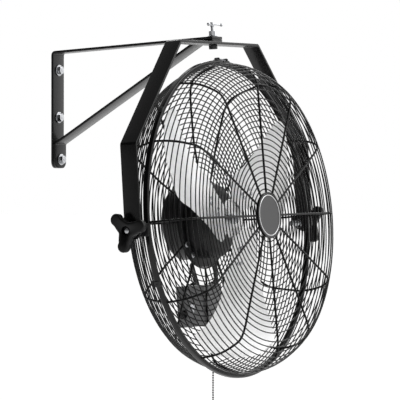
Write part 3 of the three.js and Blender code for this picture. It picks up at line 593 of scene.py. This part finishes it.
def smooth_line(points, steps=10):
    """A Catmull-Rom line through 2D points."""
    pts = [Vector(p) for p in points]
    pts = [pts[0] * 2 - pts[1], *pts, pts[-1] * 2 - pts[-2]]
    out = []
    for a, b, c, d in zip(pts, pts[1:], pts[2:], pts[3:]):
        square, cube = 2 * a - 5 * b + 4 * c - d, 3 * b - a - 3 * c + d
        for t in (k / steps for k in range(steps)):
            out.append(0.5 * (2 * b + (c - a) * t + square * t**2 + cube * t**3))
    return out + [pts[-2]]


def spaced(line, pitch, first, last=0.0):
    """Points at an even pitch along a line, with the normal at each, that keep a distance from its ends."""
    found, travelled, target = [], 0.0, first
    total = sum((b - a).length for a, b in zip(line, line[1:]))
    for a, b in zip(line, line[1:]):
        length = (b - a).length
        while length > 0 and travelled + length >= target and target <= total - last:
            along = (b - a) / length
            found.append((a.lerp(b, (target - travelled) / length), Vector((along.y, -along.x))))
            target += pitch
        travelled += length
    return found


# A rib's line in each guard, as (distance from the fan's axis, depth)
FRONT_LINE = smooth_line(
    [(RIM, -17.6), (265.8, -30), (262.8, -46), (257.5, -60), (249.5, -73), (241.5, -83), (234.5, -86.9)]
    + [(225.5, -89.3), (211, -90.4), (195, FACE), (140, FACE), (90, FACE), (37, FACE)]
)
REAR_LINE = smooth_line(
    [(RIM, -13.2), (262.2, 0), (258, 12), (252.5, 24), (247, 33.5), (239, 39.5), (226, 43.2)]
    + [(205, REAR), (143, REAR), (125, 43.4), (108, 41.8), (80.8, 41.5)]
)


def guard_wires(line, rim_depth, inner, rings):
    """A guard's twelve ribs along a line, its rim, its innermost ring and the other rings."""
    path = [(p.x, p.y, 0) for p in line]
    turns = [FAN @ Matrix.Rotation(-k * math.pi / 6, 4, "Y") for k in range(12)]
    parts = [tube(path, RIB_WIRE, 10, turn) for turn in turns]
    parts.append(ring_wire(RIM, rim_depth, RIM_WIRE, 192, 10))
    parts.append(ring_wire(*inner, INNER_WIRE, 96, 10))
    parts += [ring_wire(radius, depth, RING_WIRE, 168, 8) for radius, depth in rings]
    return parts


def guard_pieces():
    """The two wire guards. Their rings lie inside the ribs."""
    rings = [(45 + RING_PITCH * k, FACE + RING_SEAT) for k in range(17)]
    corner = [p - n * RING_SEAT for p, n in spaced(FRONT_LINE, 9.0, 9.0) if p.x > 207]
    parts = guard_wires(FRONT_LINE, RIM_FRONT, (37.8, FACE), rings + corner)
    build("front_guard_wires", parts, "fan", ["front_guard"], BLACK_WIRE, angle=60)
    rings = [p + n * RING_SEAT for p, n in spaced(REAR_LINE, 5.6, 5.4) if p.x > 240]
    rings += [p + n * RING_SEAT for p, n in spaced(REAR_LINE, 8.6, 60.0, 9.0) if p.x <= 240]
    parts = guard_wires(REAR_LINE, RIM_BACK, REAR_LINE[-1], rings)
    build("rear_guard_wires", parts, "fan", ["rear_guard"], BLACK_WIRE, angle=60)


def rim_pieces():
    """The clamp ring is a rolled band round both rims, split and drawn together near the top."""
    inner, outer, steps, gap = HOOP - 3.0, HOOP + 1.6, 240, 0.33 * DEG
    corners = [(inner, HOOP_FRONT), (outer, HOOP_FRONT), (outer, HOOP_BACK), (inner, HOOP_BACK)]
    band = rounded(corners, [0.8, 3.2, 3.2, 0.8], 6)
    rows = []
    for k in range(steps + 1):
        angle = math.pi / 2 - CLAMP_TURN + gap + (2 * math.pi - 2 * gap) * k / steps
        rows += [(r * math.cos(angle), y, r * math.sin(angle)) for r, y in band]
    parts = [(rows, loops_to_faces(steps + 1, len(band)), FAN)]
    turn = FAN @ Matrix.Rotation(CLAMP_TURN, 4, "Y")
    for side, _ in SIDES:
        (a, b), (c, d) = sorted((side * 12, side * 15.5)), sorted((side * 10, side * 21))
        lug = (a, HOOP_FRONT, HOOP - 1), (b, HOOP_BACK, HOOP + 6)
        foot = (c, HOOP_FRONT, HOOP - 1), (d, HOOP_BACK, HOOP + 2.1)
        parts += [block(*lug, 0.7, "x", 2.2, turn), block(*foot, 0.6, "z", 1.5, turn)]
    build("rim_clamp_ring", parts, "fan", ["clamp_ring"], BLACK_BAR, angle=50)
    middle = (HOOP_FRONT + HOOP_BACK) / 2
    at = (middle, HOOP + 2.7)
    screw = [
        disc(3.0, 15.8, 17.8, "x", at, 0.7, 32, turn),
        thread(2.0, -17.0, 16.5, "x", 0.8, at, turn, 16),
    ]
    build("rim_clamp_screw", screw, "fan", ["clamp_screw"], ZINC)
    clips = ((43, "upper_right"), (137, "upper_left"), (202, "lower_left"), (338, "lower_right"))
    for angle, label in clips:
        turn = FAN @ Matrix.Rotation(-angle * DEG, 4, "Y")
        top, half = HOOP + 3.3, 5.5
        clip = [
            block((HOOP + SEAT, HOOP_FRONT, -half), (top, HOOP_BACK, half), 0.8, "x", 1.6, turn),
            disc(1.7, top - 0.7, top, "x", (middle, 0), 0.3, 24, turn),
        ]
        build(f"rim_snap_{label}", clip, "fan", [f"rim_clip_{label}"], DARK)


def badge_pieces():
    """The bare centre badge: a dish, its rolled rim and a bright ring between them."""
    steps, back = 128, FACE - RIM_WIRE - SEAT
    front = back - 2.2
    centre = [(0, back), (36, back), (36, front + 1.2), (34, front + 1.25), (0, front + 1.2)]
    build("badge_dish", [lathe(centre, steps, FAN)], "fan", ["centre_badge"], BADGE, angle=30)
    rim = [
        (36.0, back),
        (38.9, back),
        (39.7, back - 0.6),
        (39.7, front + 0.7),
        (39.1, front + 0.1),
        (37.4, front),
        (36.2, front + 0.5),
        (35.4, front + 1.3),
    ]
    build("badge_rim", [lathe(rim, steps, FAN)], "fan", [], BLACK_BAR, angle=30)
    trim = [(34.4 + 0.75 * u, front + 1.0 + 0.6 * v) for u, v in circle(1, 12)]
    build("badge_trim_ring", [lathe(trim, steps, FAN)], "fan", [], BRIGHT, angle=60)


# ---------------------------------------------------------------- motor
def motor_pieces():
    """The ring that carries the motor, its screws, and the motor's two bells with ribs along their sides."""
    shell, wall, plate_front, plate_back, steps = 64, 3, 40, 43, 96
    inner = shell - wall
    plate = [(inner, plate_front), (79, plate_front), (79, plate_back), (inner, plate_back)]
    parts = [lathe(rounded(plate, [0, 0.8, 0.8, 0], 3), steps, FAN)]
    build("motor_mount_ring", parts, "fan", ["motor_plate"], MOTOR)
    for number, angle in enumerate((32, 52, 212, 232), 1):
        at = (72 * math.cos(angle * DEG), 72 * math.sin(angle * DEG))
        seat = plate_front - SEAT
        head = [
            disc(5.5, seat - 3, seat, "y", at, 1.3, 40, FAN),
            thread(2.5, 39, 45.5, "y", 0.8, at, FAN, 20),
        ]
        build(f"plate_pan_screw_{number}", head, "fan", [f"plate_screw_{number}"], ZINC)
    bells = (("front", 5, plate_front - SEAT), ("rear", 90, plate_back + SEAT))
    for label, closed, opened in bells:
        way = math.copysign(1, opened - closed)
        outline = [
            (7, closed),
            (24, closed),
            (26, closed + way * 1.4),
            (52, closed + way * 2.0),
            (60, closed + way * 3.6),
            (shell, closed + way * 8),
            (shell, opened),
            (inner, opened),
            (inner, closed + way * 9),
            (58, closed + way * 5.5),
            (20, closed + way * 4.2),
            (7, closed + way * 3),
        ]
        parts = [lathe(rounded(outline, 1.2, 3), steps, FAN)]
        low, high = sorted((closed + way * 11, opened - way * 4))
        for k in range(24):
            turn = FAN @ Matrix.Rotation(k * math.pi / 12, 4, "Y")
            parts.append(block((63.2, low, -1.6), (63.95, high, 1.6), 0.3, "x", 1.2, turn))
        build(f"motor_{label}_bell", parts, "fan", [f"motor_{label}_shell"], MOTOR)
    refinish(STEEL, "front_bearing", "rear_bearing", "rotor_core")
    refinish(WINDING, "stator")


# ---------------------------------------------------------------- blades
# Share of the blade's length, then angle and depth of its leading edge, then those of its trailing edge
STATIONS = np.array(
    [
        [0, 44, -24, -28, -22],
        [0.07, 47, -26, -30, -22],
        [0.15, 48, -28, -31, -22],
        [0.2, 43, -28.5, -32, -21.7],
        [0.25, 29, -28.3, -34, -20.5],
        [0.31, 18, -28, -37, -17.5],
        [0.47, 9, -32, -36, -12],
        [0.64, 4, -36, -38.5, -5],
        [0.8, 2, -40, -43.5, 1],
        [0.94, -1, -45, -48.5, 7],
        [1.0, -7, -42, -42, 1],
    ],
    float,
)
BLADE_ROOT, BLADE_TIP = 30.0, 239.0
BLADE_TURNS = (49, 169, 289)
HUB_FRONT, HUB_BACK, HUB_TURN = -20.2, -17.2, -8


def station_at(share):
    """A blade's leading angle and depth and trailing angle and depth at a share of its length, smoothly."""
    xs = STATIONS[:, 0]
    i = int(np.clip(np.searchsorted(xs, share) - 1, 0, len(xs) - 2))
    a, b, c, d = STATIONS[[max(i - 1, 0), i, i + 1, min(i + 2, len(xs) - 1)]]
    width = c[0] - b[0]
    t = (share - b[0]) / width
    leaving = (c - a) / max(c[0] - a[0], 1e-9) * width
    arriving = (d - b) / max(d[0] - b[0], 1e-9) * width
    h = [2 * t**3 - 3 * t**2 + 1, t**3 - 2 * t**2 + t, -2 * t**3 + 3 * t**2, t**3 - t**2]
    return (h[0] * b + h[1] * leaving + h[2] * c + h[3] * arriving)[1:]


def blade_depth(share, t):
    """Depth of a blade's front face: flat over the hub, then hollow between its edges."""
    _, lead_depth, _, trail_depth = station_at(share)
    rise = min(1.0, max(0.0, (share - 0.26) / 0.3))
    hollow = 5.5 * rise * rise * (3 - 2 * rise)
    return lead_depth + (trail_depth - lead_depth) * t + hollow * 4 * t * (1 - t)


def blade_part(phase):
    """A blade as a front and a back skin joined round its rim, thinner towards its edges."""
    rows, columns, thick, corner_start, corner_cut = 60, 20, 1.5, 0.9, 5.0
    front, back = [], []
    for i in range(rows):
        share = 1 - (1 - i / (rows - 1)) ** 1.1
        lead, _, trail, _ = station_at(share)
        over = max(0.0, (share - corner_start) / (1 - corner_start))
        for k in range(columns + 1):
            t = 0.5 - 0.5 * math.cos(math.pi * k / columns)
            corner = corner_cut * over * abs(2 * t - 1) ** 6
            radius = BLADE_ROOT + share * (BLADE_TIP - BLADE_ROOT) - corner
            angle = (phase + lead + (trail - lead) * t) * DEG
            depth = blade_depth(share, t)
            edge = min(1.0, 14 * min(t, 1 - t) + 0.35, 10 * (1 - share) + 0.4)
            x, z = radius * math.cos(angle), radius * math.sin(angle)
            front.append((x, depth + thick * (1 - edge) / 2, z))
            back.append((x, depth + thick * (1 + edge) / 2, z))
    count, stride = len(front), columns + 1
    faces = []
    for i in range(rows - 1):
        for a in range(i * stride, i * stride + columns):
            quad = [a, a + 1, a + stride + 1, a + stride]
            faces += [quad, [q + count for q in reversed(quad)]]
    rim = list(range(stride))
    rim += [i * stride + columns for i in range(1, rows)]
    rim += [(rows - 1) * stride + k for k in range(columns - 1, -1, -1)]
    rim += [i * stride for i in range(rows - 2, 0, -1)]
    faces += [[b, a, a + count, b + count] for a, b in zip(rim, rim[1:] + rim[:1])]
    return front + back, faces, FAN


def rotor_pieces():
    """Three riveted blades on the hub's arms, the hub with its nut, and the shaft."""
    for number, phase in enumerate(BLADE_TURNS, 1):
        blade, node = [blade_part(phase)], f"blade_{number}"
        build(f"fan_blade_{number}", blade, "rotor", [node], BLADE, angle=50)
        rivets = []
        for offset, radius in ((-8, 54), (2, 54), (-17, 78), (-9, 78)):
            angle = (phase + offset) * DEG
            at = (radius * math.cos(angle), radius * math.sin(angle))
            share = (radius - BLADE_ROOT) / (BLADE_TIP - BLADE_ROOT)
            lead, _, trail, _ = station_at(share)
            face = blade_depth(share, (lead - offset) / (lead - trail))
            rivets.append(disc(3.4, face - 1.6, HUB_FRONT + 0.1, "y", at, 1.1, 32, FAN))
        build(f"blade_rivets_{number}", rivets, "rotor", [], ZINC)
    bore, end = 6.3, -4.0
    profile = [(bore, HUB_FRONT), (34, HUB_FRONT), (34, HUB_BACK), (18, HUB_BACK)]
    profile += [(15, HUB_BACK + 2.7), (15, end), (bore, end)]
    hub = [lathe(rounded(profile, [0.3, 0.8, 0.8, 1, 2, 1, 0.3], 4), 96, FAN)]
    for phase in BLADE_TURNS:
        turn = FAN @ Matrix.Rotation(-(phase + HUB_TURN) * DEG, 4, "Y")
        hub.append(block((15, HUB_FRONT, -12), (84, HUB_BACK, 12), 0.8, "y", 5.0, turn))
    build("hub_spider", hub, "rotor", ["blade_hub"], BLADE)
    front = HUB_FRONT - SEAT
    nut = [hex_head(17, front, front - 8, "y", turn=0.2, both=True, matrix=FAN)]
    build("hub_lock_nut", nut, "rotor", ["hub_nut"], ZINC)
    shaft = [disc(6, front - 10, 86.7, "y", edge=0.8, steps=40, matrix=FAN)]
    build("fan_shaft", shaft, "rotor", ["rotor_shaft"], STEEL)


# ---------------------------------------------------------------- switch box and chain
BOX_HALF, BOX_TOP, BOX_FLOOR = 60, -109, -180
BOX_FRONT, BOX_SEAM, BOX_BACK = 47.5, 65.5, 68
BOX_MIDDLE = (BOX_FRONT + BOX_SEAM) / 2
CHAIN_ACROSS, CHAIN_START = 35, -188


def hanger(across, lean):
    """A strap from the motor's ring down on to the box, as a bent flat bar, and its screw."""
    near, far, foot, half, thick = 44.55, 50.35, -107.45, 6, 2.5
    start = -math.sqrt(72**2 - across**2)
    step = start - 4.5
    corners = [(near, start + 4.5), (near, step), (far, step - (far - near)), (far, foot), (63.5, foot)]
    line = bent_path(corners, 2.5, 6)
    ends = [(-half, -thick / 2), (half, -thick / 2), (half, thick / 2), (-half, thick / 2)]
    section = rounded(ends, 0.4, 3)
    rows = []
    for before, p, after in zip(line[:1] + line, line, line[1:] + line[-1:]):
        along = (after - before).normalized()
        for w, t in section:
            y, z = p + Vector((-along.y, along.x)) * t
            rows.append((across + w + lean * (start - z), y, z))
    strap = (rows, loops_to_faces(len(line), len(section)), FAN)
    at = (across + lean * (start - foot), 58)
    return [strap, disc(3.6, -106.2, -104.4, "z", at, 0.8, 32, FAN)]


def box_pieces():
    """The switch box with its lid, plug and hangers, the neck that the chain leaves, and the cord's gland."""
    low, high = (-BOX_HALF, BOX_FRONT, BOX_FLOOR), (BOX_HALF, BOX_SEAM, BOX_TOP)
    shell = block(low, high, 1.4, "y", 4.0, FAN)
    build("switch_box_shell", [shell], "fan", ["switch_box"], GREY)
    low, high = (-BOX_HALF, BOX_SEAM + SEAT, BOX_FLOOR), (BOX_HALF, BOX_BACK, BOX_TOP)
    cover = block(low, high, 0.7, "y", 4.0, FAN)
    build("switch_box_lid", [cover], "fan", ["box_cover"], GREY)
    plug = [(0, 47.0), (6.2, 47.0), (6.9, 47.3), (7.4, 47.0), (8, 47.2), (8, 49.5), (0, 49.5)]
    plug_place = FAN @ Matrix.Translation((-43, 0, -147))
    build("box_blank_plug", [lathe(plug, 48, plug_place)], "fan", ["box_plug"], ZINC)
    for across, lean, label in ((-33, 0.3, "left"), (48, 0.0, "right")):
        strap = hanger(across, lean)
        build(f"box_strap_{label}", strap, "fan", [f"box_hanger_{label}"], DARK)
    refinish(PLASTIC, "run_capacitor")
    at = (CHAIN_ACROSS, BOX_MIDDLE)
    neck = [
        thread(5, CHAIN_START, -177, "z", 1.0, at, FAN),
        hex_head(14, BOX_FLOOR - SEAT, -183, "z", at, both=True, matrix=FAN),
        disc(2.6, CHAIN_START - 0.6, CHAIN_START + 0.5, "z", at, steps=32, matrix=FAN),
    ]
    build("pull_switch_neck", neck, "fan", ["pull_switch"], ZINC)
    bore, ridge, groove, height = 3.8, 5.5, 5.0, -158
    sleeve = [(bore, -73), (5.1, -73), (ridge, -72.6)]
    for start in (-72 + k * 1.1 for k in range(8)):
        sleeve += [(ridge, start), (groove, start + 0.4), (ridge, start + 0.8)]
    sleeve += [(ridge, -55), (bore, -55)]
    gland = [
        hex_head(15, -BOX_HALF - SEAT, -63.3, "x", (BOX_MIDDLE, height), matrix=FAN),
        lathe(sleeve, 48, FAN @ Matrix.Translation((0, BOX_MIDDLE, height)), "x"),
    ]
    build("cord_inlet_gland", gland, "fan", ["cord_gland"], PLASTIC)


def chain_pieces():
    """The bead chain hangs plumb from inside the neck, with a bell on its end."""
    length, pitch, bead, link = 250.0, 4.3, 1.7, 0.38
    top = FAN @ Vector((CHAIN_ACROSS, BOX_MIDDLE, CHAIN_START)) + Vector((0, 0, 4))
    count = int(length / pitch)
    arc = [math.pi * (0.12 + 0.76 * k / 6) for k in range(7)]
    profile = [(0, 0)]
    for k in range(count):
        centre = -(pitch * (k + 0.5))
        profile += [(bead * math.sin(t), centre + bead * math.cos(t)) for t in arc]
        if k < count - 1:
            profile += [(link, centre - bead - 0.1), (link, centre - pitch + bead + 0.1)]
    profile.append((0, -length))
    parts = [lathe(profile, 12, Matrix.Translation(top), "z")]
    chain = build("bead_chain", parts, "chain", ["pull_chain"], CHAIN, angle=50)
    foot = top.z - length - SEAT
    bell = [
        (0, foot),
        (1.4, foot - 0.2),
        (1.9, foot - 1.5),
        (1.7, foot - 3),
        (3.0, foot - 6),
        (4.4, foot - 10.5),
        (4.5, foot - 12.4),
        (4.0, foot - 13.6),
        (0, foot - 14),
    ]
    parts = [lathe(bell, 40, Matrix.Translation((top.x, top.y, 0)), "z")]
    knob = build("chain_pull_bell", parts, "chain", ["chain_bell"], ZINC)


# ---------------------------------------------------------------- stage and light
def make_stage():
    """A white floor far below. It glows for the eye, and half as much in reflections."""
    level, size, glow_strength = -1.05, 30, 0.62
    mesh = bpy.data.meshes.new("floor")
    corners = ((-size, -size), (size, -size), (size, size), (-size, size))
    mesh.from_pydata([(x, y, level) for x, y in corners], [], [[0, 1, 2, 3]])
    mat = bpy.data.materials.new("white_floor")
    mat.use_nodes = True
    tree = mat.node_tree
    tree.nodes.clear()
    link = tree.links.new
    out = shader_node(tree, "OutputMaterial")
    paper = shader_node(tree, "BsdfDiffuse", {"Color": (0.8, 0.8, 0.8, 1)})
    glow = shader_node(tree, "Emission")
    ray = shader_node(tree, "LightPath")
    reflected = shader_node(tree, "Math", {1: 0.5}, operation="MULTIPLY")
    seen = shader_node(tree, "Math", operation="MAXIMUM")
    strength = shader_node(tree, "Math", {1: glow_strength}, operation="MULTIPLY")
    add = shader_node(tree, "AddShader")
    link(ray.outputs["Is Glossy Ray"], reflected.inputs[0])
    link(ray.outputs["Is Camera Ray"], seen.inputs[0])
    link(reflected.outputs[0], seen.inputs[1])
    link(seen.outputs[0], strength.inputs[0])
    link(strength.outputs[0], glow.inputs["Strength"])
    link(paper.outputs[0], add.inputs[0])
    link(glow.outputs[0], add.inputs[1])
    link(add.outputs[0], out.inputs["Surface"])
    mesh.materials.append(mat)
    add_object("floor", mesh)


def make_world():
    """A world that is white to the eye, and whose light falls off towards the left rear."""
    world = bpy.data.worlds.new("studio")
    bpy.context.scene.world = world
    world.use_nodes = True
    tree = world.node_tree
    tree.nodes.clear()
    link = tree.links.new
    out = shader_node(tree, "OutputWorld")
    shade = shader_node(tree, "Background")
    white = shader_node(tree, "Background", {"Color": (1, 1, 1, 1), "Strength": 1})
    place = shader_node(tree, "TexCoord")
    darkest_way = Vector((-0.86, 0.5, 0.05)).normalized()
    dot = shader_node(tree, "VectorMath", {1: darkest_way}, operation="DOT_PRODUCT")
    fall = {"From Min": -0.9, "From Max": 0.72, "To Min": 1.45, "To Max": 0.05}
    level = shader_node(tree, "MapRange", fall, interpolation_type="SMOOTHSTEP")
    ray = shader_node(tree, "LightPath")
    mix = shader_node(tree, "MixShader")
    link(place.outputs["Generated"], dot.inputs[0])
    link(dot.outputs["Value"], level.inputs["Value"])
    link(level.outputs["Result"], shade.inputs["Strength"])
    link(ray.outputs["Is Camera Ray"], mix.inputs["Fac"])
    link(shade.outputs[0], mix.inputs[1])
    link(white.outputs[0], mix.inputs[2])
    link(mix.outputs[0], out.inputs["Surface"])


def make_lamp(name, place, size, power):
    """A square lamp, in metres and watts, that is aimed at the fan and that the camera doesn't see."""
    target = Vector((0, -0.3, -0.2))
    data = bpy.data.lights.new(name, "AREA")
    data.shape = "SQUARE"
    data.size = size
    data.energy = power
    lamp = add_object(name, data)
    lamp.visible_camera = False
    lamp.location = place
    lamp.rotation_mode = "QUATERNION"
    lamp.rotation_quaternion = (target - Vector(place)).to_track_quat("-Z", "Y")


make_camera()
chain_pieces()
bracket_pieces()
swivel_pieces()
yoke_piece()
pivot_pieces()
guard_pieces()
rim_pieces()
badge_pieces()
motor_pieces()
rotor_pieces()
box_pieces()
make_stage()
make_world()
make_lamp("key", (1.6, -2.6, 2.2), 2.6, 34)
make_lamp("rim", (3.2, 1.0, 1.1), 2.2, 42)
bpy.context.scene.view_settings.view_transform = "Standard"
